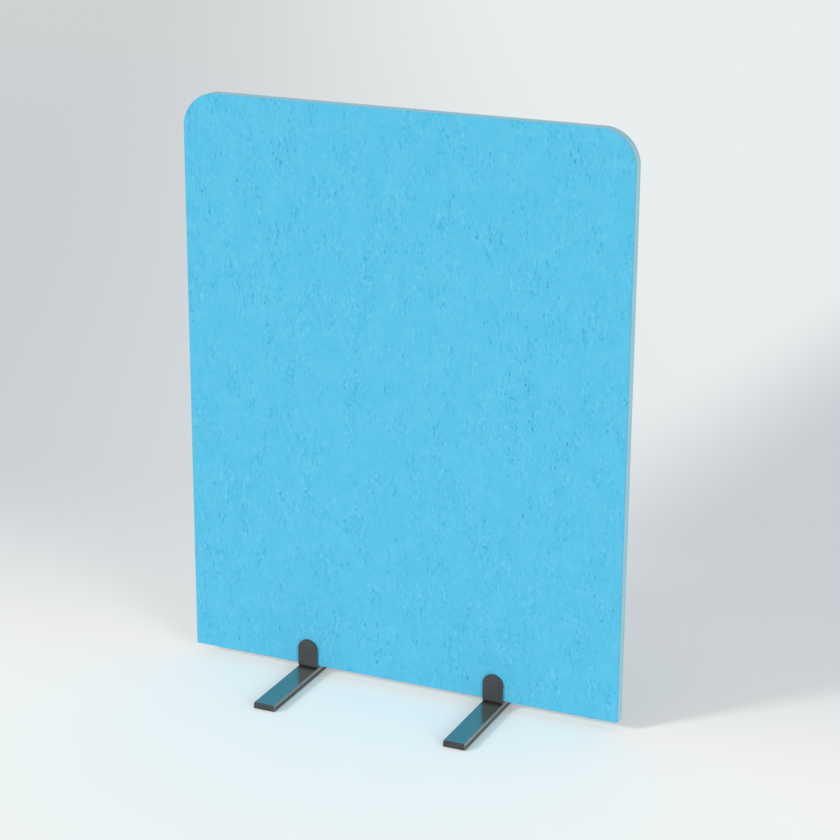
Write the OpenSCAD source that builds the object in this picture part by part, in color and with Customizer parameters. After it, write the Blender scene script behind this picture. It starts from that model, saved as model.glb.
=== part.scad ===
// Free-standing acoustic divider screen: a felt-faced panel with rounded top corners on two flat steel feet.
// Each foot is a bevelled bar with a U-shaped bracket on it, whose round-topped tongues clasp the panel.
// The origin is on the floor under the middle of the panel: X along the panel, -Y to the front, +Z up.

/* [Panel] */
// Width of the panel
panel_w = 1000; // [700:10:1800]
// Height of the panel without its feet
panel_h = 1250; // [800:10:1800]
// Radius of the panel's two top corners
corner_r = 75; // [40:1:85]
// Thickness of each felt facing
felt_t = 3; // [2:0.5:6]

/* [Frame inside the panel] */
// Thickness of the timber frame and of the absorber slab
core_t = 22; // [20:1:40]
// Width of the stiles and height of the top rail
frame_w = 60; // [50:1:90]
// Height of the bottom rail, which takes the screws of the feet
bottom_rail_h = 80; // [70:1:140]
// Thickness of the edge bands
band_t = 1; // [0.5:0.1:2]
// Diameter of the frame's dowels
dowel_d = 8; // [6:1:10]
// Length of the frame's dowels
dowel_l = 40; // [30:1:50]

/* [Foot bars] */
// Length of a bar from front to rear
bar_l = 450; // [300:5:700]
// Width of a bar
bar_w = 50; // [46:1:80]
// Thickness of a bar
bar_t = 14; // [10:1:25]
// Width of the steep bevel round a bar's top, measured across the bar
bar_bevel_w = 2; // [0.5:0.5:3]
// Height of that bevel, measured down the bar's side
bar_bevel_h = 5; // [1:0.5:8]
// Radius of a bar's upright corners
bar_corner_r = 2; // [1:0.5:5]
// Distance from the panel's side to the middle of a foot
foot_inset = 280; // [100:5:300]

/* [Brackets] */
// Thickness of a bracket's sheet
sheet_t = 4; // [3:0.5:6]
// Inner radius of a bracket's two bends
bend_r = 3; // [2:0.5:5]
// Height of a bracket's tongues above its bar
tongue_h = 66; // [60:1:80]

/* [Floor pads] */
// Diameter of a pad
pad_d = 30; // [20:1:40]
// Thickness of a pad
pad_t = 2; // [1.5:0.5:4]
// Height that a pad stands proud of its recess
pad_proud = 1; // [0.5:0.1:1.4]
// Distance from a bar's end to the middle of its pad
pad_inset = 30; // [25:1:80]

/* [Fasteners] */
// Thread diameter of the bolts that hold a bracket to its bar
bolt_d = 6; // [5:1:8]
// Head diameter of those bolts
bolt_head_d = 12; // [10:0.5:16]
// Distance between the two bolts of a foot
bolt_spacing = 26; // [20:1:30]
// Thread diameter of the screws that hold a bracket to the panel
screw_d = 5; // [4:0.5:6]
// Head diameter of those screws
screw_head_d = 9.5; // [8:0.5:11]
// Head height of those screws
screw_head_h = 2.8; // [2:0.1:3.5]
// Length of those screws under the head
screw_l = 16; // [13:1:20]
// Distance between the two screws of a foot
screw_spacing = 22; // [14:1:24]
// Outer diameter of the threaded inserts in the bottom rail
insert_d = 8; // [7:0.5:10]
// Length of the threaded inserts
insert_l = 12; // [10:0.5:16]

/* [Hidden] */
$fn = 96;

// Clearance across a plain bore round a bolt or screw
bore_clearance = 0.5;
// Clearance across a thread, a dowel or an insert in its hole, and across a pad in its recess
fit_clearance = 0.1;
// Spare depth past the end of a dowel, an insert or a bolt
end_clearance = 0.5;
// Overrun of a cut past the faces that it opens
overrun = 1;
// Depth of the hexagon socket as a share of a head's height
socket_depth_share = 0.6;
// Width of the hexagon socket, across its corners, as a share of the thread's diameter
socket_width_share = 0.75;
// Distance between the two dowels of a joint, as a share of the rail's height
dowel_spacing_share = 0.4;

// Heights, from the floor up: pad, bar, sheet of the bracket, bearing strip, panel
bar_z = pad_proud;
bracket_z = bar_z + bar_t;
strip_z = bracket_z + sheet_t;
// The strip is as thick as the bends are round, which lifts the panel's square edge clear of them
strip_t = bend_r;
panel_z = strip_z + strip_t;
panel_t = core_t + 2 * felt_t;

// The frame and slab lie inside the bands
core_w = panel_w - 2 * band_t;
core_h = panel_h - 2 * band_t;
core_r = corner_r - band_t;
core_z = panel_z + band_t;
slab_w = core_w - 2 * frame_w;
slab_h = core_h - frame_w - bottom_rail_h;

foot_x = panel_w / 2 - foot_inset;
// The bracket is as wide as the flat top of its bar
tongue_w = bar_w - 2 * bar_bevel_w;
bolt_l = bar_t + sheet_t - end_clearance;
bolt_head_h = (bolt_head_d - bolt_d) / 2;
// The upper screw sits at the centre of the tongue's round top
screw_top_z = bracket_z + tongue_h - tongue_w / 2;

felt_color = [0.37, 0.77, 0.91];
band_color = [0.66, 0.78, 0.82];
timber_color = [0.83, 0.70, 0.50];
dowel_color = [0.76, 0.60, 0.40];
absorber_color = [0.90, 0.89, 0.84];
steel_color = [0.28, 0.30, 0.32];
rubber_color = [0.12, 0.12, 0.13];
zinc_color = [0.75, 0.76, 0.78];
brass_color = [0.78, 0.66, 0.38];

// Outline with a square foot and two rounded top corners, standing on the origin
module rounded_top(w, h, r) {
    translate([-w / 2, 0]) square([w, h - r]);
    translate([r - w / 2, 0]) square([w - 2 * r, h]);
    for (side = [-1, 1]) translate([side * (w / 2 - r), h - r]) circle(r);
}

// Outline of a channel's section: square at the top and rounded at its two lower corners
module rounded_foot(w, h, r) {
    translate([-w / 2, r]) square([w, h - r]);
    translate([r - w / 2, 0]) square([w - 2 * r, h]);
    for (side = [-1, 1]) translate([side * (w / 2 - r), r]) circle(r);
}

// Stands an outline upright, from depth y to y + t
module upright(y, t) {
    translate([0, y + t, 0]) rotate([90, 0, 0]) linear_extrude(t) children();
}

// Places a piece of a foot: side -1 is the left foot and 1 the right foot
module at_foot(side) {
    translate([side * foot_x, 0, 0]) children();
}

// Puts one copy at each bolt of a foot
module at_bolts() {
    for (way = [-1, 1]) translate([way * bolt_spacing / 2, 0, 0]) children();
}

// Puts one copy at each screw of a foot, on the tongue's centre line
module at_screws() {
    for (row = [0, 1]) translate([0, 0, screw_top_z - row * screw_spacing]) children();
}

// Round bore or shank along Y, from depth y to y + l
module along_y(d, y, l) {
    translate([0, y, 0]) rotate([-90, 0, 0]) cylinder(d = d, h = l);
}

// Places one copy in each joint of a rail with the stiles, on the two dowel lines of the rail
module at_dowels(rail_z, rail_h) {
    for (side = [-1, 1], row = [-1, 1])
        translate([side * slab_w / 2, 0, rail_z + rail_h / 2 + row * rail_h * dowel_spacing_share / 2])
            rotate([0, 90, 0]) children();
}

module all_dowels() {
    at_dowels(core_z, bottom_rail_h) children();
    at_dowels(core_z + core_h - frame_w, frame_w) children();
}

module dowel_holes() {
    all_dowels()
        cylinder(d = dowel_d + fit_clearance, h = dowel_l + 2 * end_clearance, center = true);
}

// Felt facing, glued over one side of the frame
module felt(y) {
    upright(y, felt_t) translate([0, panel_z]) rounded_top(panel_w, panel_h, corner_r);
}

module front_felt() {
    color(felt_color) felt(-panel_t / 2);
}

module rear_felt() {
    color(felt_color) difference() {
        felt(core_t / 2);
        for (side = [-1, 1]) at_foot(side) at_screws()
            along_y(screw_d + bore_clearance, core_t / 2 - overrun, felt_t + 2 * overrun);
    }
}

// Absorber slab, pressed into the frame
module absorber_slab() {
    color(absorber_color) upright(-core_t / 2, core_t)
        translate([-slab_w / 2, core_z + bottom_rail_h]) square([slab_w, slab_h]);
}

// Part of the core's outline inside a rectangle, as a board of the core's thickness
module core_board(x, z, w, h) {
    upright(-core_t / 2, core_t) intersection() {
        translate([0, core_z]) rounded_top(core_w, core_h, core_r);
        translate([x, z]) square([w, h]);
    }
}

// Stile: it runs the full height, and its top takes the panel's rounded corner
module stile(side) {
    color(timber_color) difference() {
        core_board(side < 0 ? -core_w / 2 : slab_w / 2, core_z, frame_w, core_h);
        dowel_holes();
    }
}

module top_rail() {
    color(timber_color) difference() {
        core_board(-slab_w / 2, core_z + core_h - frame_w, slab_w, frame_w);
        dowel_holes();
    }
}

module bottom_rail() {
    color(timber_color) difference() {
        core_board(-slab_w / 2, core_z, slab_w, bottom_rail_h);
        dowel_holes();
        for (side = [-1, 1]) at_foot(side) at_screws()
            along_y(insert_d + fit_clearance, core_t / 2 - insert_l - end_clearance,
                    insert_l + end_clearance + overrun);
    }
}

module frame_dowels() {
    color(dowel_color) all_dowels() cylinder(d = dowel_d, h = dowel_l, center = true);
}

// Edge band: one strip up one side, over the top and down the other side, between the felts
module edge_band() {
    color(band_color) upright(-core_t / 2, core_t) translate([0, panel_z]) difference() {
        rounded_top(panel_w, panel_h, corner_r);
        translate([0, -overrun]) rounded_top(core_w, panel_h - band_t + overrun, core_r);
    }
}

// Straight strip under the bottom rail and the stiles
module bottom_edge_band() {
    color(band_color) upright(-core_t / 2, core_t) translate([-core_w / 2, panel_z])
        square([core_w, band_t]);
}

// Section of a bar, w wide, with both top edges bevelled
module bevelled_section(w) {
    polygon([
        [-w / 2, 0], [w / 2, 0], [w / 2, bar_t - bar_bevel_h], [w / 2 - bar_bevel_w, bar_t],
        [bar_bevel_w - w / 2, bar_t], [-w / 2, bar_t - bar_bevel_h],
    ]);
}

// Solid bar with a bevel all round its top and slightly rounded upright corners
module bar_blank() {
    intersection() {
        linear_extrude(bar_t) union() {
            square([bar_w - 2 * bar_corner_r, bar_l], center = true);
            square([bar_w, bar_l - 2 * bar_corner_r], center = true);
            for (x = [-1, 1], y = [-1, 1])
                translate([x * (bar_w / 2 - bar_corner_r), y * (bar_l / 2 - bar_corner_r)])
                    circle(bar_corner_r);
        }
        translate([0, bar_l / 2, 0]) rotate([90, 0, 0]) linear_extrude(bar_l) bevelled_section(bar_w);
        translate([-bar_w / 2, 0, 0]) rotate([90, 0, 90]) linear_extrude(bar_w) bevelled_section(bar_l);
    }
}

// Foot bar: bored and countersunk from below for its bolts, with a recess for each floor pad
module foot_bar(side) {
    pad_recess = pad_t - pad_proud;
    color(steel_color) at_foot(side) translate([0, 0, bar_z]) difference() {
        bar_blank();
        at_bolts() {
            translate([0, 0, -overrun]) cylinder(d = bolt_d + bore_clearance, h = bar_t + 2 * overrun);
            cylinder(d1 = bolt_head_d + bore_clearance, d2 = bolt_d + bore_clearance, h = bolt_head_h);
        }
        for (end = [-1, 1]) translate([0, end * (bar_l / 2 - pad_inset), -overrun])
            cylinder(d = pad_d + fit_clearance, h = pad_recess + overrun);
    }
}

// Outline of a tongue from the front: straight sides and a half-round top
module tongue_outline() {
    straight_h = tongue_h - tongue_w / 2;
    translate([-tongue_w / 2, 0]) square([tongue_w, straight_h]);
    translate([0, straight_h]) circle(d = tongue_w);
}

// Bracket: one strip of sheet bent to a U, with round-topped tongues before and behind the panel
module bracket(side) {
    outer_w = panel_t + 2 * sheet_t;
    color(steel_color) at_foot(side) translate([0, 0, bracket_z]) difference() {
        intersection() {
            translate([-tongue_w / 2, 0, 0]) rotate([90, 0, 90]) linear_extrude(tongue_w) difference() {
                rounded_foot(outer_w, tongue_h, bend_r + sheet_t);
                translate([0, sheet_t]) rounded_foot(panel_t, tongue_h, bend_r);
            }
            upright(-outer_w / 2, outer_w) tongue_outline();
        }
        at_bolts() translate([0, 0, -overrun])
            cylinder(d = bolt_d + fit_clearance, h = sheet_t + 2 * overrun);
        translate([0, 0, -bracket_z]) at_screws()
            along_y(screw_d + bore_clearance, panel_t / 2 - overrun, sheet_t + 2 * overrun);
    }
}

// Bearing strip: the panel's bottom edge stands on it, inside the bracket
module bearing_strip(side) {
    color(rubber_color) at_foot(side) translate([-tongue_w / 2, bend_r - panel_t / 2, strip_z])
        cube([tongue_w, panel_t - 2 * bend_r, strip_t]);
}

// Hexagon socket, sunk from the origin upwards into a head
module socket(d, head_h) {
    translate([0, 0, -overrun])
        cylinder(d = d * socket_width_share, h = head_h * socket_depth_share + overrun, $fn = 6);
}

// Countersunk bolts, from under the bar into the bracket's tapped base
module bracket_bolts(side) {
    color(zinc_color) at_foot(side) translate([0, 0, bar_z]) at_bolts() difference() {
        union() {
            cylinder(d = bolt_d, h = bolt_l);
            cylinder(d1 = bolt_head_d, d2 = bolt_d, h = bolt_head_h);
        }
        socket(bolt_d, bolt_head_h);
    }
}

// Dome of a screw head, as a cap of a ball that is cut at the head's diameter
module dome(d, h) {
    ball_r = (d * d / 4 + h * h) / (2 * h);
    intersection() {
        translate([0, 0, ball_r]) sphere(ball_r);
        cylinder(d = d, h = h);
    }
}

// Button-head screws, through the rear tongue and the rear felt into the threaded inserts
module panel_screws(side) {
    head_y = panel_t / 2 + sheet_t + screw_head_h;
    color(zinc_color) at_foot(side) at_screws() translate([0, head_y, 0]) rotate([90, 0, 0]) difference() {
        union() {
            dome(screw_head_d, screw_head_h);
            translate([0, 0, screw_head_h]) cylinder(d = screw_d, h = screw_l);
        }
        socket(screw_d, screw_head_h);
    }
}

module threaded_inserts(side) {
    color(brass_color) at_foot(side) at_screws() difference() {
        along_y(insert_d, core_t / 2 - insert_l, insert_l);
        along_y(screw_d + fit_clearance, core_t / 2 - insert_l - overrun, insert_l + 2 * overrun);
    }
}

// Rubber floor pad: end -1 is the front pad of a foot and 1 the rear pad
module floor_pad(side, end) {
    color(rubber_color) at_foot(side) translate([0, end * (bar_l / 2 - pad_inset), 0])
        cylinder(d = pad_d, h = pad_t);
}

front_felt();
rear_felt();
absorber_slab();
stile(-1);  // left_stile
stile(1);  // right_stile
top_rail();
bottom_rail();
frame_dowels();
edge_band();
bottom_edge_band();
foot_bar(-1);  // left_foot_bar
foot_bar(1);  // right_foot_bar
bracket(-1);  // left_bracket
bracket(1);  // right_bracket
bearing_strip(-1);  // left_bearing_strip
bearing_strip(1);  // right_bearing_strip
bracket_bolts(-1);  // left_bracket_bolts
bracket_bolts(1);  // right_bracket_bolts
panel_screws(-1);  // left_panel_screws
panel_screws(1);  // right_panel_screws
threaded_inserts(-1);  // left_threaded_inserts
threaded_inserts(1);  // right_threaded_inserts
floor_pad(-1, -1);  // left_front_pad
floor_pad(-1, 1);  // left_rear_pad
floor_pad(1, -1);  // right_front_pad
floor_pad(1, 1);  // right_rear_pad
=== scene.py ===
"""Acoustic divider screen: a felt-faced panel on two flat steel feet, dressed for the photograph's view.

Sizes are in metres, unless their name says mm. The screen's front looks along -y."""

import math

import bmesh
import bpy
from mathutils import Euler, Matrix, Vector, noise


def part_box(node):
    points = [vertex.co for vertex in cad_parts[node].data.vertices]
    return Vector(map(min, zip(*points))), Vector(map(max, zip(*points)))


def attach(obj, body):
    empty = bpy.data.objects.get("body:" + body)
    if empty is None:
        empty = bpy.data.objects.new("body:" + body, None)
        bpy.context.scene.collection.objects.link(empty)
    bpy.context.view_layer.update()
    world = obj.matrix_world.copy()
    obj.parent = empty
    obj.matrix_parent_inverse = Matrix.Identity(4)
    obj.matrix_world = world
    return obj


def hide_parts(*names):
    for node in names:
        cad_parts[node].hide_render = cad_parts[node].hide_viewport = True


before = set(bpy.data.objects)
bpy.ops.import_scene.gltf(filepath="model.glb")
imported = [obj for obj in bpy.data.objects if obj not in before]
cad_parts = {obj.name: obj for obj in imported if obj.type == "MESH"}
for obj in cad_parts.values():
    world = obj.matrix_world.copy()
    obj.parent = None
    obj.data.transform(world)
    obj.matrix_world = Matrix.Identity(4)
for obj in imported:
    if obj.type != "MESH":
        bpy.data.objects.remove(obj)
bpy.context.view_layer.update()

# Camera. A short telephoto stands to the right of the screen and above its top edge, looking down on it. Its
# place was fitted to the panel's four corners, both bars' front ends and both tongues, with no lens shift.
CAMERA_AT = (1.915, -4.213, 2.133)
CAMERA_TURN_DEG = (71.84, -0.30, 24.09)
LENS_MM = 99.6
SENSOR_MM = 36.0

lens = bpy.data.cameras.new("studio_lens")
lens.lens = LENS_MM
lens.sensor_width = SENSOR_MM
camera = bpy.data.objects.new("studio_camera", lens)
camera.location = CAMERA_AT
camera.rotation_euler = Euler(tuple(math.radians(turn) for turn in CAMERA_TURN_DEG))
bpy.context.scene.collection.objects.link(camera)
bpy.context.scene.camera = camera
bpy.context.scene.view_settings.view_transform = "Standard"

# Front and rear felt facings. Each is one 3 mm sheet of needle-punched polyester felt in sky blue, die-cut
# with round top corners and square bottom ones, and glued flat to the frame. The needles leave its fibres
# combed upright, with small pits between them, and the die leaves a slightly crushed, rounded edge.
CORNER_RADIUS = 0.075
CORNER_ROWS = 18
FELT_CELL = 0.008
FELT_RIM = 0.006
# Each octave of the face's swell is half as wide as the last. The shift makes the two sheets differ.
FELT_SWELL = 0.00025
FELT_SWELLS_PER_M = 28.0
SWELL_FALL, SWELL_STEP, SWELL_OCTAVES = 1.0, 2.0, 3
SWELL_SHIFT = 5.0
# The cut edge wanders by noise less a bias, so mostly inward.
EDGE_WANDER = 0.00015
EDGE_WANDERS_PER_M = 90.0
WANDER_BIAS = 0.6
# Outset from the rim's start and depth below the face, as shares of the rim and of the felt's thickness.
CUT_EDGE = ((0.45, 0.0), (0.80, 0.02), (0.93, 0.10), (0.985, 0.26), (1.0, 0.5), (0.985, 0.8), (0.95, 1.0))
FELT_SHADE = "249FC4"
FELT_LIGHT = "6BBFDD"
# The colour a pit is darkened toward is painted shade in its dip.
FELT_PIT_PAINTED_SHADE = "0A76A2"
PILE_DEPTH = 0.0019
# How wide each pattern is. A stretch below 1 draws it out upright.
STREAK_MM = 4.2
STREAK_STRETCH = 0.36
FIBRE_MM = 1.6
CLOUD_MM = 40.0
# A tuft begins at the first noise level and is complete at the second. The shift parts tufts from streaks.
TUFT_MM = 4.0
TUFT_STRETCH = 0.42
TUFT_SHIFT = (7.0, 3.0, 5.0)
LIGHT_TUFT_FROM, LIGHT_TUFT_FULL = 0.62, 0.82
DARK_TUFT_FROM, DARK_TUFT_FULL = 0.36, 0.16
# Strokes are weakest in the calm patches of the felt and strongest in the busy ones.
PATCH_MM = 32.0
CALM_LEVEL, BUSY_LEVEL = 0.35, 0.65
CALM_STROKES, BUSY_STROKES = 0.25, 1.7
# Each cell may hold one pit, from its edge to its middle as shares of a cell. Few pits are deep, and calm
# patches hold shallower ones.
PIT_SPACING_MM = 8.5
PIT_STRETCH = 0.45
PIT_PICK_FROM, PIT_PICK_FULL = 0.25, 0.95
PIT_THINNING = 2.0
PIT_CALM_LEVEL, PIT_BUSY_LEVEL = 0.4, 0.6
PIT_CALM_SHARE = 0.35
PIT_EDGE, PIT_MIDDLE = 0.28, 0.06
# How far a pit is darkened toward that colour: painted shade, beside the shading its bump gives.
PIT_PAINTED_SHADE = 0.8
PIT_DROP = 0.26
# How much of the step from shade to light each pattern carries.
STREAK_PART = 0.27
FIBRE_PART = 0.16
TUFT_PART = 0.21
CLOUD_PART = 0.30
# The sockets of a Mix node that mixes colours, by their numbers.
MIX_FACTOR, MIX_A, MIX_B, MIX_OUT = 0, 6, 7, 2


def linear(hex_code):
    """An sRGB colour such as "5FC6EA" as the linear red, green, blue and alpha that a socket takes."""
    parts = [int(hex_code[at : at + 2], 16) / 255 for at in (0, 2, 4)]
    return tuple(p / 12.92 if p <= 0.04045 else ((p + 0.055) / 1.055) ** 2.4 for p in parts) + (1.0,)


def per_metre(millimetres):
    """The scale that makes a pattern's features about this many millimetres wide."""
    return 1000.0 / millimetres


def new_material(name):
    """An empty node material with its output."""
    material = bpy.data.materials.new(name)
    material.use_nodes = True
    material.node_tree.nodes.clear()
    material.node_tree.nodes.new("ShaderNodeOutputMaterial")
    return material


def add_node(material, kind, inputs=None, **settings):
    """Adds a shader node. inputs maps a socket's name or number to a value or to another node's output."""
    node = material.node_tree.nodes.new("ShaderNode" + kind)
    for name, value in settings.items():
        setattr(node, name, value)
    for socket, value in (inputs or {}).items():
        if isinstance(value, bpy.types.NodeSocket):
            material.node_tree.links.new(value, node.inputs[socket])
        else:
            node.inputs[socket].default_value = value
    return node


def set_surface(material, shader):
    """Joins a shader to the material's output."""
    output = material.node_tree.nodes["Material Output"]
    material.node_tree.links.new(shader.outputs[0], output.inputs["Surface"])
    return material


def needle_felt(name):
    """Needle-punched polyester felt: upright fibre streaks, pits with painted shade in them and lit on one
    side by the bump, clouds and soft sheen. Real fibres are 0.02 mm thick, so the streaks are drawn as the
    4 mm tufts seen from a step away."""
    felt = new_material(name)
    place = add_node(felt, "TexCoord").outputs["Object"]
    upright = add_node(felt, "Mapping", {"Vector": place, "Scale": (1.0, 1.0, STREAK_STRETCH)}).outputs[0]
    streaks = add_node(
        felt, "TexNoise", {"Vector": upright, "Scale": per_metre(STREAK_MM), "Detail": 1.0, "Roughness": 0.5}
    ).outputs[0]
    fibres = add_node(
        felt, "TexNoise", {"Vector": upright, "Scale": per_metre(FIBRE_MM), "Detail": 1.0, "Distortion": 0.4}
    ).outputs[0]
    clouds = add_node(
        felt, "TexNoise", {"Vector": place, "Scale": per_metre(CLOUD_MM), "Detail": 3.0, "Roughness": 0.55}
    ).outputs[0]
    shifted = add_node(
        felt, "Mapping", {"Vector": place, "Location": TUFT_SHIFT, "Scale": (1.0, 1.0, TUFT_STRETCH)}
    ).outputs[0]
    flecks = add_node(
        felt, "TexNoise", {"Vector": shifted, "Scale": per_metre(TUFT_MM), "Detail": 0.0}
    ).outputs[0]
    light_tufts = add_node(
        felt, "MapRange", {"Value": flecks, "From Min": LIGHT_TUFT_FROM, "From Max": LIGHT_TUFT_FULL}
    ).outputs[0]
    dark_tufts = add_node(
        felt, "MapRange", {"Value": flecks, "From Min": DARK_TUFT_FROM, "From Max": DARK_TUFT_FULL}
    ).outputs[0]
    tufts = add_node(felt, "Math", {0: light_tufts, 1: dark_tufts}, operation="SUBTRACT").outputs[0]
    patches = add_node(
        felt, "TexNoise", {"Vector": shifted, "Scale": per_metre(PATCH_MM), "Detail": 2.0}
    ).outputs[0]
    busy = add_node(
        felt,
        "MapRange",
        {
            "Value": patches,
            "From Min": CALM_LEVEL,
            "From Max": BUSY_LEVEL,
            "To Min": CALM_STROKES,
            "To Max": BUSY_STROKES,
        },
    ).outputs[0]
    pitted = add_node(felt, "Mapping", {"Vector": place, "Scale": (1.0, 1.0, PIT_STRETCH)}).outputs[0]
    cells = add_node(felt, "TexVoronoi", {"Vector": pitted, "Scale": per_metre(PIT_SPACING_MM)})
    pick = add_node(felt, "SeparateColor", {"Color": cells.outputs["Color"]}).outputs["Red"]
    picked = add_node(
        felt, "MapRange", {"Value": pick, "From Min": PIT_PICK_FROM, "From Max": PIT_PICK_FULL}
    ).outputs[0]
    thinned = add_node(felt, "Math", {0: picked, 1: PIT_THINNING}, operation="POWER").outputs[0]
    crowded = add_node(
        felt,
        "MapRange",
        {
            "Value": patches,
            "From Min": PIT_CALM_LEVEL,
            "From Max": PIT_BUSY_LEVEL,
            "To Min": PIT_CALM_SHARE,
        },
    ).outputs[0]
    chosen = add_node(felt, "Math", {0: thinned, 1: crowded}, operation="MULTIPLY").outputs[0]
    near = add_node(
        felt,
        "MapRange",
        {"Value": cells.outputs["Distance"], "From Min": PIT_EDGE, "From Max": PIT_MIDDLE},
        interpolation_type="SMOOTHSTEP",
    ).outputs[0]
    pits = add_node(felt, "Math", {0: chosen, 1: near}, operation="MULTIPLY").outputs[0]
    # Noise lies about a half, so the sum of the strokes starts at minus half their parts.
    strokes = -(STREAK_PART + FIBRE_PART) / 2
    for pattern, part in ((streaks, STREAK_PART), (fibres, FIBRE_PART), (tufts, TUFT_PART)):
        strokes = add_node(
            felt, "Math", {0: pattern, 1: part, 2: strokes}, operation="MULTIPLY_ADD"
        ).outputs[0]
    strokes = add_node(felt, "Math", {0: strokes, 1: busy}, operation="MULTIPLY").outputs[0]
    cloudy = add_node(
        felt, "Math", {0: clouds, 1: CLOUD_PART, 2: 0.5 - CLOUD_PART / 2}, operation="MULTIPLY_ADD"
    ).outputs[0]
    tone = add_node(felt, "Math", {0: cloudy, 1: strokes}, operation="ADD").outputs[0]
    ground = add_node(
        felt,
        "Mix",
        {MIX_FACTOR: tone, MIX_A: linear(FELT_SHADE), MIX_B: linear(FELT_LIGHT)},
        data_type="RGBA",
    ).outputs[MIX_OUT]
    # Pits are painted darker, as shade in their dips.
    painted_pit_shade = add_node(felt, "Math", {0: pits, 1: PIT_PAINTED_SHADE}, operation="MULTIPLY").outputs[0]
    colour = add_node(
        felt, "Mix", {MIX_FACTOR: painted_pit_shade, MIX_A: ground, MIX_B: linear(FELT_PIT_PAINTED_SHADE)}, data_type="RGBA"
    ).outputs[MIX_OUT]
    height = add_node(felt, "Math", {0: pits, 1: -PIT_DROP, 2: strokes}, operation="MULTIPLY_ADD").outputs[0]
    relief = add_node(felt, "Bump", {"Height": height, "Strength": 1.0, "Distance": PILE_DEPTH}).outputs[0]
    shader = add_node(
        felt,
        "BsdfPrincipled",
        {
            "Base Color": colour,
            "Roughness": 0.95,
            "IOR": 1.5,
            "Specular IOR Level": 0.15,
            "Sheen Weight": 0.12,
            "Sheen Roughness": 0.5,
            "Normal": relief,
        },
    )
    return set_surface(felt, shader)


def felt_sheet(name, node, facing, material):
    """One facing, cut to the CAD node's outline. facing is -1 for the front sheet and 1 for the rear one."""
    low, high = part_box(node)
    middle = (low.x + high.x) / 2
    inner_radius = CORNER_RADIUS - FELT_RIM
    half = (high.x - low.x) / 2 - FELT_RIM
    bottom = low.z + FELT_RIM
    arc_start = high.z - CORNER_RADIUS
    straight_rows = round((arc_start - bottom) / FELT_CELL)
    columns = round(2 * half / FELT_CELL)
    rise = (arc_start - bottom) / straight_rows
    # Each row's height, half its width, and how far the outline has turned inward there.
    rows = [(bottom + rise * step, half, 0.0) for step in range(straight_rows)]
    for step in range(CORNER_ROWS + 1):
        angle = math.pi / 2 * step / CORNER_ROWS
        rows.append(
            (arc_start + inner_radius * math.sin(angle), half - inner_radius * (1 - math.cos(angle)), angle)
        )
    top = len(rows) - 1
    outer = low.y if facing < 0 else high.y
    thickness = high.y - low.y

    def swell(x, z):
        """The face's slow rise and fall, as the glued sheet has between its needle rows."""
        at = Vector((x * FELT_SWELLS_PER_M, facing * SWELL_SHIFT, z * FELT_SWELLS_PER_M))
        return facing * FELT_SWELL * noise.fractal(at, SWELL_FALL, SWELL_STEP, SWELL_OCTAVES)

    made = bmesh.new()
    grid = []
    for z, width, _ in rows:
        spots = [middle + width * (2 * column / columns - 1) for column in range(columns + 1)]
        grid.append([made.verts.new((x, outer + swell(x, z), z)) for x in spots])
    for row in range(top):
        for column in range(columns):
            made.faces.new(
                (grid[row][column], grid[row][column + 1], grid[row + 1][column + 1], grid[row + 1][column])
            )

    # The points round the flat face, each with its way outward. The die-cut edge grows from them.
    border = [(grid[0][column], 0.0, -1.0) for column in range(1, columns)]
    border.append((grid[0][columns], 1.0, -1.0))
    slopes = [(math.cos(angle), math.sin(angle)) for _, _, angle in rows]
    border += [(grid[row][columns], slopes[row][0], slopes[row][1]) for row in range(1, top + 1)]
    border += [(grid[top][column], 0.0, 1.0) for column in range(columns - 1, 0, -1)]
    border += [(grid[row][0], -slopes[row][0], slopes[row][1]) for row in range(top, 0, -1)]
    border.append((grid[0][0], -1.0, -1.0))
    ring = [vertex for vertex, _, _ in border]
    for outset_share, depth_share in CUT_EDGE:
        wider = []
        for vertex, across, up in border:
            at = vertex.co * EDGE_WANDERS_PER_M
            outset = outset_share * (FELT_RIM + EDGE_WANDER * (noise.noise(at) - WANDER_BIAS))
            depth = facing * depth_share * thickness
            wider.append(
                made.verts.new((vertex.co.x + across * outset, outer - depth, vertex.co.z + up * outset))
            )
        for spot in range(len(ring)):
            after = (spot + 1) % len(ring)
            made.faces.new((ring[spot], ring[after], wider[after], wider[spot]))
        ring = wider
    made.faces.new(ring)
    bmesh.ops.recalc_face_normals(made, faces=made.faces)
    mesh = bpy.data.meshes.new(name)
    made.to_mesh(mesh)
    made.free()
    mesh.shade_smooth()
    mesh.materials.append(material)
    sheet = bpy.data.objects.new(name, mesh)
    bpy.context.scene.collection.objects.link(sheet)
    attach(sheet, "root")
    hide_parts(node)


felt = needle_felt("needle_punched_felt")
felt_sheet("front_felt_sheet", "front_felt", -1, felt)
felt_sheet("rear_felt_sheet", "rear_felt", 1, felt)

# Absorber. A batt of bonded polyester fibre, white and springy, lies inside the timber frame between the
# felts. It is cut from a roll, so its faces are a little uneven and its edges soft.
BATT_CELL = 0.025
BATT_CLEARANCE = 0.0008
BATT_SWELLS_PER_M = 22.0
# How far its faces dip, in clearances: the middle value, and how much it varies.
BATT_DIP, BATT_DIP_VARIES = 0.8, 0.7
BATT_RIM = 0.003
RIM_DEG = 60
BATT_WHITE = "E6E3D9"
BATT_GREY = "C9C6BC"
BATT_TUFT_MM = 9.0


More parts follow.
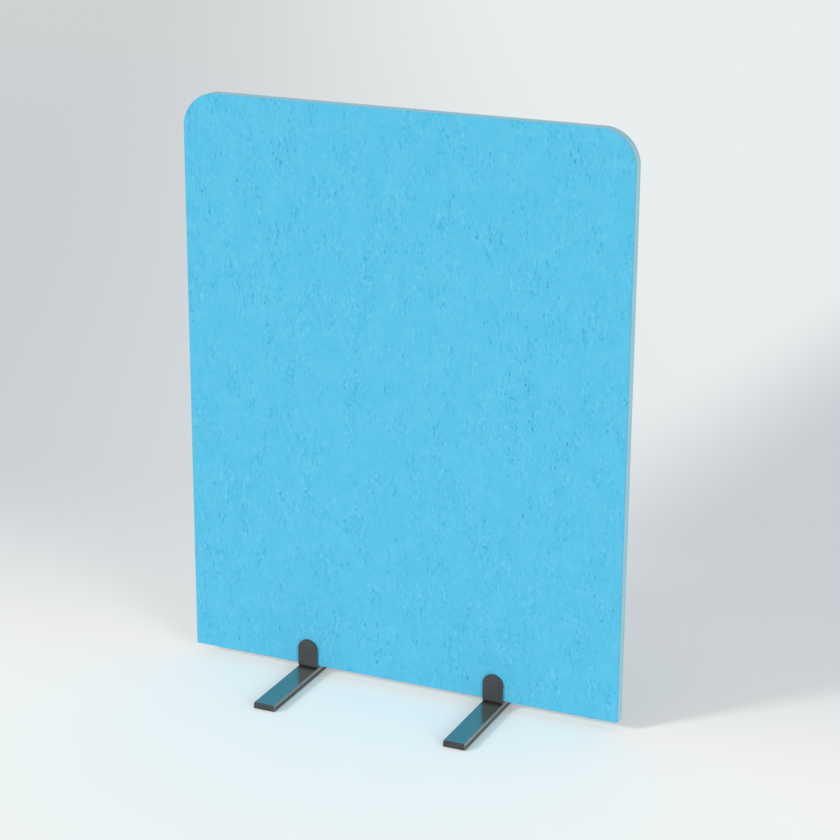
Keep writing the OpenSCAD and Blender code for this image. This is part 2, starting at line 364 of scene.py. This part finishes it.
def bonded_batt(name):
    """Bonded polyester fibre: off-white, matt and tufted, with the tufts drawn at 9 mm."""
    batt = new_material(name)
    place = add_node(batt, "TexCoord").outputs["Object"]
    tufts = add_node(
        batt, "TexNoise", {"Vector": place, "Scale": per_metre(BATT_TUFT_MM), "Detail": 5.0}
    ).outputs[0]
    colour = add_node(
        batt,
        "Mix",
        {MIX_FACTOR: tufts, MIX_A: linear(BATT_GREY), MIX_B: linear(BATT_WHITE)},
        data_type="RGBA",
    ).outputs[MIX_OUT]
    relief = add_node(batt, "Bump", {"Height": tufts, "Strength": 0.8, "Distance": 0.002}).outputs[0]
    shader = add_node(
        batt,
        "BsdfPrincipled",
        {"Base Color": colour, "Roughness": 1.0, "Sheen Weight": 0.3, "Normal": relief},
    )
    return set_surface(batt, shader)


def absorber_batt(node):
    """A soft slab a hair smaller than its CAD solid, with rounded edges and a gentle swell on its faces."""
    low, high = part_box(node)
    middle = (low + high) / 2
    size = high - low - Vector((2 * BATT_CLEARANCE,) * 3)
    made = bmesh.new()
    bmesh.ops.create_grid(
        made, x_segments=round(size.x / BATT_CELL), y_segments=round(size.z / BATT_CELL), size=0.5
    )
    for vertex in made.verts:
        vertex.co = Vector((middle.x + vertex.co.x * size.x, low.y, middle.z + vertex.co.y * size.z))
    shell = bmesh.ops.extrude_face_region(made, geom=list(made.faces))
    raised = [item for item in shell["geom"] if isinstance(item, bmesh.types.BMVert)]
    for vertex in made.verts:
        inward = 1.0 if vertex.co.y < middle.y else -1.0
        dip = BATT_CLEARANCE * (BATT_DIP + BATT_DIP_VARIES * noise.noise(vertex.co * BATT_SWELLS_PER_M))
        vertex.co.y += inward * dip
    for vertex in raised:
        vertex.co.y = middle.y + (middle.y - vertex.co.y)
    bmesh.ops.recalc_face_normals(made, faces=made.faces)
    rims = [edge for edge in made.edges if edge.calc_face_angle(0.0) > math.radians(RIM_DEG)]
    bmesh.ops.bevel(made, geom=rims, offset=BATT_RIM, segments=3, profile=0.6, affect="EDGES")
    # The bevel makes its points and faces in no fixed order, so both are put in the order of their places.
    for rank, vertex in enumerate(sorted(made.verts, key=lambda vertex: vertex.co[:])):
        vertex.index = rank
    made.verts.sort()
    for rank, face in enumerate(sorted(made.faces, key=lambda face: face.calc_center_median()[:])):
        face.index = rank
    made.faces.sort()
    mesh = bpy.data.meshes.new("absorber_batt")
    made.to_mesh(mesh)
    made.free()
    mesh.shade_smooth()
    mesh.materials.append(bonded_batt("bonded_polyester_batt"))
    batt = bpy.data.objects.new("absorber_batt", mesh)
    bpy.context.scene.collection.objects.link(batt)
    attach(batt, "root")
    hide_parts(node)


absorber_batt("absorber_slab")

# Timber frame. Planed spruce stiles and rails, butted and joined by fluted beech dowels, carry the felts and
# take the screws of the feet. All of it is closed in by the facings and the edge bands.
SPRUCE_EARLY = "DCC08A"
SPRUCE_LATE = "B98E55"
BEECH = "C9A06E"
BEECH_FLECK = "A77C4C"
SPRUCE_RING_MM = 7.0
BEECH_RING_MM = 4.0
GRAIN_STRETCH = 0.06
PORES_PER_RING = 8
LATE_WOOD_FROM, LATE_WOOD_FULL = 0.40, 0.62


def planed_wood(name, early, late, along, ring_mm):
    """Planed wood with its grain along one axis: growth rings as stretched bands, and pores in the bump. Real
    pores are under 0.1 mm wide, and are drawn an eighth of a ring wide."""
    wood = new_material(name)
    squeeze = [1.0, 1.0, 1.0]
    squeeze["XYZ".index(along)] = GRAIN_STRETCH
    place = add_node(wood, "TexCoord").outputs["Object"]
    grain = add_node(wood, "Mapping", {"Vector": place, "Scale": squeeze}).outputs[0]
    rings = add_node(
        wood, "TexNoise", {"Vector": grain, "Scale": per_metre(ring_mm), "Detail": 4.0, "Distortion": 1.2}
    ).outputs[0]
    pores = add_node(
        wood, "TexNoise", {"Vector": grain, "Scale": per_metre(ring_mm / PORES_PER_RING), "Detail": 2.0}
    ).outputs[0]
    share = add_node(
        wood, "MapRange", {"Value": rings, "From Min": LATE_WOOD_FROM, "From Max": LATE_WOOD_FULL}
    ).outputs[0]
    colour = add_node(
        wood, "Mix", {MIX_FACTOR: share, MIX_A: linear(early), MIX_B: linear(late)}, data_type="RGBA"
    ).outputs[MIX_OUT]
    relief = add_node(wood, "Bump", {"Height": pores, "Strength": 0.3, "Distance": 0.0003}).outputs[0]
    shader = add_node(
        wood, "BsdfPrincipled", {"Base Color": colour, "Roughness": 0.62, "IOR": 1.53, "Normal": relief}
    )
    return set_surface(wood, shader)


def dress(node, material):
    """Gives a CAD piece that keeps its own shape its finish."""
    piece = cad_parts[node]
    for slot in piece.material_slots:
        slot.material = material


upright_spruce = planed_wood("planed_spruce_upright", SPRUCE_EARLY, SPRUCE_LATE, "Z", SPRUCE_RING_MM)
level_spruce = planed_wood("planed_spruce_level", SPRUCE_EARLY, SPRUCE_LATE, "X", SPRUCE_RING_MM)
fluted_beech = planed_wood("fluted_beech", BEECH, BEECH_FLECK, "X", BEECH_RING_MM)
for stile in ("left_stile", "right_stile"):
    dress(stile, upright_spruce)
for rail in ("top_rail", "bottom_rail"):
    dress(rail, level_spruce)
dress("frame_dowels", fluted_beech)

# Edge bands. A 1 mm strip of pale grey-blue ABS runs up the sides and over the top between the two felts, and
# a second one closes the bottom. ABS edging is extruded and embossed, so it is matt with a fine grain.
BAND_COLOUR = "94C4D1"
BAND_SCUFF = "8FBECB"
BAND_ROUGH_LEAST, BAND_ROUGH_MOST = 0.68, 0.8
EMBOSS_MM = 1.5
HANDLING_MM = 60.0
# Most of a noise pattern lies between these two levels.
NOISE_LOW, NOISE_HIGH = 0.3, 0.7
BAND_ARRIS = 0.0002
WELD = 0.00001
FLAT_DEG = 0.5
SHARP_DEG = 18


def embossed_abs(name):
    """Embossed ABS edging: matt, even in colour, with a fine leathery grain, drawn at 1.5 mm."""
    plastic = new_material(name)
    place = add_node(plastic, "TexCoord").outputs["Object"]
    emboss = add_node(
        plastic, "TexNoise", {"Vector": place, "Scale": per_metre(EMBOSS_MM), "Detail": 2.0}
    ).outputs[0]
    handling = add_node(
        plastic, "TexNoise", {"Vector": place, "Scale": per_metre(HANDLING_MM), "Detail": 3.0}
    ).outputs[0]
    colour = add_node(
        plastic,
        "Mix",
        {MIX_FACTOR: handling, MIX_A: linear(BAND_SCUFF), MIX_B: linear(BAND_COLOUR)},
        data_type="RGBA",
    ).outputs[MIX_OUT]
    rough = add_node(
        plastic,
        "MapRange",
        {
            "Value": handling,
            "From Min": NOISE_LOW,
            "From Max": NOISE_HIGH,
            "To Min": BAND_ROUGH_LEAST,
            "To Max": BAND_ROUGH_MOST,
        },
    ).outputs[0]
    relief = add_node(plastic, "Bump", {"Height": emboss, "Strength": 0.25, "Distance": 0.0003}).outputs[0]
    shader = add_node(
        plastic, "BsdfPrincipled", {"Base Color": colour, "Roughness": rough, "IOR": 1.53, "Normal": relief}
    )
    return set_surface(plastic, shader)


def finished_piece(node, arris, material):
    """A CAD piece with its sharp edges rounded as tumbling or paint leaves them. It stands for the node."""
    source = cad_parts[node].data
    mesh = bpy.data.meshes.new(node + "_finished")
    mesh.from_pydata(
        [vertex.co[:] for vertex in source.vertices], [], [face.vertices[:] for face in source.polygons]
    )
    made = bmesh.new()
    made.from_mesh(mesh)
    bmesh.ops.remove_doubles(made, verts=made.verts, dist=WELD)
    flat = math.radians(FLAT_DEG)
    bmesh.ops.dissolve_limit(made, angle_limit=flat, verts=made.verts, edges=made.edges)
    least = math.radians(SHARP_DEG)
    sharp = [edge for edge in made.edges if edge.is_manifold and edge.calc_face_angle() > least]
    bmesh.ops.bevel(
        made, geom=sharp, offset=arris, segments=2, profile=0.5, affect="EDGES", clamp_overlap=True
    )
    made.to_mesh(mesh)
    made.free()
    mesh.shade_smooth()
    mesh.materials.append(material)
    piece = bpy.data.objects.new(node + "_finished", mesh)
    bpy.context.scene.collection.objects.link(piece)
    even = piece.modifiers.new("even_faces", "WEIGHTED_NORMAL")
    even.weight = 100
    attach(piece, "root")
    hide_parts(node)
    return piece


abs_band = embossed_abs("embossed_abs_edging")
for band in ("edge_band", "bottom_edge_band"):
    finished_piece(band, BAND_ARRIS, abs_band)

# Foot bars and brackets. A bar is a steel flat with bevelled top edges, a bracket is 4 mm sheet bent to a
# square U with round-topped tongues. The anthracite powder coat is satin on the brackets and gloss on the
# bars. A bar's top and long bevels take a light metal-flake coat, painted light, and its upright sides and
# ends a dark coat without flake, painted shade.
COAT_GREY = "2D3032"
COAT_DUST = "35393B"
# The flake coat's light grey is painted light on the faces that take it; its dust tone is real dust.
PAINTED_LIT_FLAKE_GREY = "898B82"
PAINTED_LIT_FLAKE_DUST = "90928A"
BAR_ARRIS = 0.0005
BRACKET_ARRIS = 0.0004
ORANGE_PEEL_MM = 5.0
DUST_MM = 35.0
DUST_ROUGHER = 0.08
# A face is an upright side or an end where its normal is at least this far along x or along y.
UPRIGHT_SIDE = 0.97
END_FACE = 0.8


def powder_coat(name, grey, dust, flake, matt, film, film_rough):
    """Baked polyester powder on steel, with orange peel of real width and a little dust. flake is the share
    of metal flake in it, matt its roughness, film and film_rough the clear skin's weight and roughness."""
    paint = new_material(name)
    place = add_node(paint, "TexCoord").outputs["Object"]
    peel = add_node(
        paint, "TexNoise", {"Vector": place, "Scale": per_metre(ORANGE_PEEL_MM), "Detail": 1.0}
    ).outputs[0]
    wipe = add_node(
        paint, "TexNoise", {"Vector": place, "Scale": per_metre(DUST_MM), "Detail": 4.0}
    ).outputs[0]
    colour = add_node(
        paint, "Mix", {MIX_FACTOR: wipe, MIX_A: linear(grey), MIX_B: linear(dust)}, data_type="RGBA"
    ).outputs[MIX_OUT]
    rough = add_node(
        paint,
        "MapRange",
        {
            "Value": wipe,
            "From Min": NOISE_LOW,
            "From Max": NOISE_HIGH,
            "To Min": matt,
            "To Max": matt + DUST_ROUGHER,
        },
    ).outputs[0]
    relief = add_node(paint, "Bump", {"Height": peel, "Strength": 0.05, "Distance": 0.0002}).outputs[0]
    shader = add_node(
        paint,
        "BsdfPrincipled",
        {
            "Base Color": colour,
            "Metallic": flake,
            "Roughness": rough,
            "IOR": 1.5,
            "Normal": relief,
            "Coat Weight": film,
            "Coat Roughness": film_rough,
            "Coat IOR": 1.5,
            "Coat Normal": relief,
        },
    )
    return set_surface(paint, shader)


painted_lit_flake_coat = powder_coat(
    "flake_powder_coat_painted_lit", PAINTED_LIT_FLAKE_GREY, PAINTED_LIT_FLAKE_DUST, flake=0.9, matt=0.17, film=1.0, film_rough=0.12
)
painted_shaded_gloss_coat = powder_coat(
    "anthracite_powder_coat_painted_shaded", COAT_GREY, COAT_DUST, flake=0.0, matt=0.2, film=0.0, film_rough=0.1
)
satin_coat = powder_coat(
    "satin_anthracite_powder_coat", COAT_GREY, COAT_DUST, flake=0.0, matt=0.42, film=0.3, film_rough=0.35
)
for side in ("left", "right"):
    bar = finished_piece(side + "_foot_bar", BAR_ARRIS, painted_lit_flake_coat)
    bar.data.materials.append(painted_shaded_gloss_coat)
    # Upright sides and ends take the plain gloss coat as painted shade; the top and long bevels keep the
    # flake coat as painted light.
    for face in bar.data.polygons:
        if abs(face.normal.y) > END_FACE or abs(face.normal.x) > UPRIGHT_SIDE:
            face.material_index = 1
    finished_piece(side + "_bracket", BRACKET_ARRIS, satin_coat)

# Bearing strips and floor pads. Moulded black rubber: a 3 mm strip beds the panel in each bracket, and a
# round pad in a recess under each end of a bar keeps the steel off the floor.
RUBBER_BLACK = "1C1C1E"
RUBBER_BLOOM = "2B2B2D"
SPARK_GRAIN_MM = 0.8
BLOOM_MM = 14.0
RUBBER_ARRIS = 0.0003


def moulded_rubber(name):
    """Moulded rubber: matt black, with a grey bloom in patches and a spark-eroded grain, drawn at 0.8 mm."""
    rubber = new_material(name)
    place = add_node(rubber, "TexCoord").outputs["Object"]
    grain = add_node(
        rubber, "TexNoise", {"Vector": place, "Scale": per_metre(SPARK_GRAIN_MM), "Detail": 2.0}
    ).outputs[0]
    bloom = add_node(
        rubber, "TexNoise", {"Vector": place, "Scale": per_metre(BLOOM_MM), "Detail": 3.0}
    ).outputs[0]
    colour = add_node(
        rubber,
        "Mix",
        {MIX_FACTOR: bloom, MIX_A: linear(RUBBER_BLACK), MIX_B: linear(RUBBER_BLOOM)},
        data_type="RGBA",
    ).outputs[MIX_OUT]
    relief = add_node(rubber, "Bump", {"Height": grain, "Strength": 0.3, "Distance": 0.0002}).outputs[0]
    shader = add_node(
        rubber, "BsdfPrincipled", {"Base Color": colour, "Roughness": 0.8, "IOR": 1.52, "Normal": relief}
    )
    return set_surface(rubber, shader)


rubber = moulded_rubber("moulded_black_rubber")
for side in ("left", "right"):
    finished_piece(side + "_bearing_strip", RUBBER_ARRIS, rubber)
    for end in ("front", "rear"):
        finished_piece(f"{side}_{end}_pad", RUBBER_ARRIS, rubber)

# Fasteners. Two countersunk bolts from below join each bar to its bracket, two black button-head screws go
# through each rear tongue into the panel, and the brass inserts in the bottom rail take those screws.
ZINC = "C9CCD0"
ZINC_HAZE = "AEB4BC"
BLACK_ZINC = "1E1F22"
BLACK_ZINC_WORN = "34363A"
BRASS = "D9BE7A"
BRASS_TARNISH = "B4935A"
TURNING_MM = 0.5
SCREW_ARRIS = 0.00015


def plated_metal(name, bright, dull, patch_mm, smooth, hazy):
    """Plated or turned metal: its colour drifts from bright to dull in patches, with turning marks drawn at
    half a millimetre. smooth is its roughness where it is bright, and hazy where it is dull."""
    metal = new_material(name)
    place = add_node(metal, "TexCoord").outputs["Object"]
    patches = add_node(
        metal, "TexNoise", {"Vector": place, "Scale": per_metre(patch_mm), "Detail": 4.0}
    ).outputs[0]
    marks = add_node(
        metal, "TexNoise", {"Vector": place, "Scale": per_metre(TURNING_MM), "Detail": 1.0}
    ).outputs[0]
    colour = add_node(
        metal, "Mix", {MIX_FACTOR: patches, MIX_A: linear(bright), MIX_B: linear(dull)}, data_type="RGBA"
    ).outputs[MIX_OUT]
    rough = add_node(
        metal,
        "MapRange",
        {
            "Value": patches,
            "From Min": NOISE_LOW,
            "From Max": NOISE_HIGH,
            "To Min": smooth,
            "To Max": hazy,
        },
    ).outputs[0]
    relief = add_node(metal, "Bump", {"Height": marks, "Strength": 0.15, "Distance": 0.0001}).outputs[0]
    shader = add_node(
        metal, "BsdfPrincipled", {"Base Color": colour, "Metallic": 1.0, "Roughness": rough, "Normal": relief}
    )
    return set_surface(metal, shader)


zinc = plated_metal("zinc_plated_steel", ZINC, ZINC_HAZE, patch_mm=5.0, smooth=0.28, hazy=0.42)
black_zinc = plated_metal(
    "black_zinc_plated_steel", BLACK_ZINC, BLACK_ZINC_WORN, patch_mm=4.0, smooth=0.35, hazy=0.5
)
brass = plated_metal("turned_brass", BRASS, BRASS_TARNISH, patch_mm=6.0, smooth=0.25, hazy=0.45)
for side in ("left", "right"):
    finished_piece(side + "_bracket_bolts", SCREW_ARRIS, zinc)
    finished_piece(side + "_panel_screws", SCREW_ARRIS, black_zinc)
    dress(side + "_threaded_inserts", brass)

# Studio floor. A wide sheet of pale paper, which fills the whole picture from this height. Far behind the
# screen it glows in painted tones: painted shade to the left, a painted shadow of the screen straight behind
# its right half and painted light between, and from there on it runs into the sky's tone. Those tones light
# nothing.
FLOOR_RADIUS = 40.0
FLOOR_SPOKES = 96
FLOOR_PALE = "FFFFFA"
FAR_PAINTED_SHADE = "C9CED3"
FAR_PAINTED_DUSK = "D0D2D2"
FAR_PAINTED_LIGHT = "E9EEEE"
SKY_SEEN = "D3D7D9"
# Each tone blends in along a way over the floor, between two values of a place's dot product with it.
FAR_WAY = (-0.1, 0.88, 0.0)
FAR_START, FAR_END = -0.35, 1.05
DUSK_START, DUSK_END = 3.0, 8.0
# Painted shade to the left, painted light to the right.
RIGHT_WAY = (0.896, 0.443, 0.0)
PAINTED_SHADE_SIDE, PAINTED_LIGHT_SIDE = -1.55, 1.35
# The screen's painted shadow behind its right half, from full to none.
BEHIND_WAY = (1.0, -0.1, 0.0)
BEHIND_PAINTED_SHADOW, BEHIND_PAINTED_LIGHT = 0.25, -0.45
HAZE_START = 15.0


def seen_directly(owner):
    """1 where a surface or the sky is seen, straight or in a mirror or glass, 0 where it only gives light."""
    path = add_node(owner, "LightPath").outputs
    seen = path["Is Camera Ray"]
    for ray in ("Is Glossy Ray", "Is Transmission Ray"):
        seen = add_node(owner, "Math", {0: seen, 1: path[ray]}, operation="MAXIMUM").outputs[0]
    return seen


floor_paper = new_material("floor_paper_with_painted_far_tones")
spot = add_node(floor_paper, "TexCoord").outputs["Object"]
onward = add_node(floor_paper, "VectorMath", {0: spot, 1: FAR_WAY}, operation="DOT_PRODUCT").outputs["Value"]
sideways = add_node(
    floor_paper, "VectorMath", {0: spot, 1: RIGHT_WAY}, operation="DOT_PRODUCT"
).outputs["Value"]
painted_far_share = add_node(
    floor_paper,
    "MapRange",
    {"Value": onward, "From Min": FAR_START, "From Max": FAR_END},
    interpolation_type="SMOOTHSTEP",
).outputs[0]
behind = add_node(
    floor_paper, "VectorMath", {0: spot, 1: BEHIND_WAY}, operation="DOT_PRODUCT"
).outputs["Value"]
painted_side_light = add_node(
    floor_paper,
    "MapRange",
    {"Value": sideways, "From Min": PAINTED_SHADE_SIDE, "From Max": PAINTED_LIGHT_SIDE},
    interpolation_type="SMOOTHSTEP",
).outputs[0]
painted_behind_light = add_node(
    floor_paper,
    "MapRange",
    {"Value": behind, "From Min": BEHIND_PAINTED_SHADOW, "From Max": BEHIND_PAINTED_LIGHT},
    interpolation_type="SMOOTHSTEP",
).outputs[0]
painted_light_share = add_node(floor_paper, "Math", {0: painted_side_light, 1: painted_behind_light}, operation="MULTIPLY").outputs[0]
painted_dusk_share = add_node(
    floor_paper, "MapRange", {"Value": onward, "From Min": DUSK_START, "From Max": DUSK_END}
).outputs[0]
painted_shade_tone = add_node(
    floor_paper,
    "Mix",
    {MIX_FACTOR: painted_dusk_share, MIX_A: linear(FAR_PAINTED_SHADE), MIX_B: linear(FAR_PAINTED_DUSK)},
    data_type="RGBA",
).outputs[MIX_OUT]
painted_far_tone = add_node(
    floor_paper,
    "Mix",
    {MIX_FACTOR: painted_light_share, MIX_A: painted_shade_tone, MIX_B: linear(FAR_PAINTED_LIGHT)},
    data_type="RGBA",
).outputs[MIX_OUT]
distance = add_node(floor_paper, "VectorMath", {0: spot}, operation="LENGTH").outputs["Value"]
haze_share = add_node(
    floor_paper,
    "MapRange",
    {"Value": distance, "From Min": HAZE_START, "From Max": FLOOR_RADIUS},
    interpolation_type="SMOOTHSTEP",
).outputs[0]
painted_hazy_tone = add_node(
    floor_paper,
    "Mix",
    {MIX_FACTOR: haze_share, MIX_A: painted_far_tone, MIX_B: linear(SKY_SEEN)},
    data_type="RGBA",
).outputs[MIX_OUT]
painted_toned_share = add_node(floor_paper, "Math", {0: painted_far_share, 1: haze_share}, operation="MAXIMUM").outputs[0]
seen = seen_directly(floor_paper)
painted_far_seen = add_node(floor_paper, "Math", {0: painted_toned_share, 1: seen}, operation="MULTIPLY").outputs[0]
paper = add_node(
    floor_paper, "BsdfPrincipled", {"Base Color": linear(FLOOR_PALE), "Roughness": 1.0}
).outputs[0]
# The far tones glow as painted light and shade, seen but lighting nothing.
painted_glow = add_node(floor_paper, "Emission", {"Color": painted_hazy_tone, "Strength": 1.0}).outputs[0]
set_surface(floor_paper, add_node(floor_paper, "MixShader", {0: painted_far_seen, 1: paper, 2: painted_glow}))
made = bmesh.new()
bmesh.ops.create_circle(made, cap_ends=True, radius=FLOOR_RADIUS, segments=FLOOR_SPOKES)
floor_mesh = bpy.data.meshes.new("studio_floor")
made.to_mesh(floor_mesh)
made.free()
floor_mesh.materials.append(floor_paper)
floor = bpy.data.objects.new("studio_floor", floor_mesh)
bpy.context.scene.collection.objects.link(floor)

# Studio light. Two far softboxes light the whole set evenly: the key from the front left gives the soft
# shadows to the right and behind, the fill, low on the front right, lights the screen's edge. A pale sky does
# the rest, and it is seen in the same tone as the floor's far end.
SKY_COLOUR = "FAFCFF"
SKY_STRENGTH = 0.61
# Name, way from the screen, width in degrees and watts per square metre of each softbox.
SOFTBOXES = (
    ("key_softbox", (-0.64, -0.68, 0.44), 11.0, 1.58),
    ("fill_softbox", (0.79, -0.55, 0.26), 24.0, 1.15),
)

sky = bpy.data.worlds.new("pale_studio_sky")
sky.use_nodes = True
bpy.context.scene.world = sky
sky_light = sky.node_tree.nodes["Background"]
sky_light.inputs["Color"].default_value = linear(SKY_COLOUR)
sky_light.inputs["Strength"].default_value = SKY_STRENGTH
sky_tone = add_node(sky, "Background", {"Color": linear(SKY_SEEN), "Strength": 1.0}).outputs[0]
sky_shares = {0: seen_directly(sky), 1: sky_light.outputs[0], 2: sky_tone}
sky_mix = add_node(sky, "MixShader", sky_shares).outputs[0]
sky.node_tree.links.new(sky_mix, sky.node_tree.nodes["World Output"].inputs["Surface"])

for name, way, width, strength in SOFTBOXES:
    lamp = bpy.data.lights.new(name, "SUN")
    lamp.angle = math.radians(width)
    lamp.energy = strength
    softbox = bpy.data.objects.new(name, lamp)
    softbox.rotation_euler = Vector(way).to_track_quat("Z", "Y").to_euler()
    bpy.context.scene.collection.objects.link(softbox)
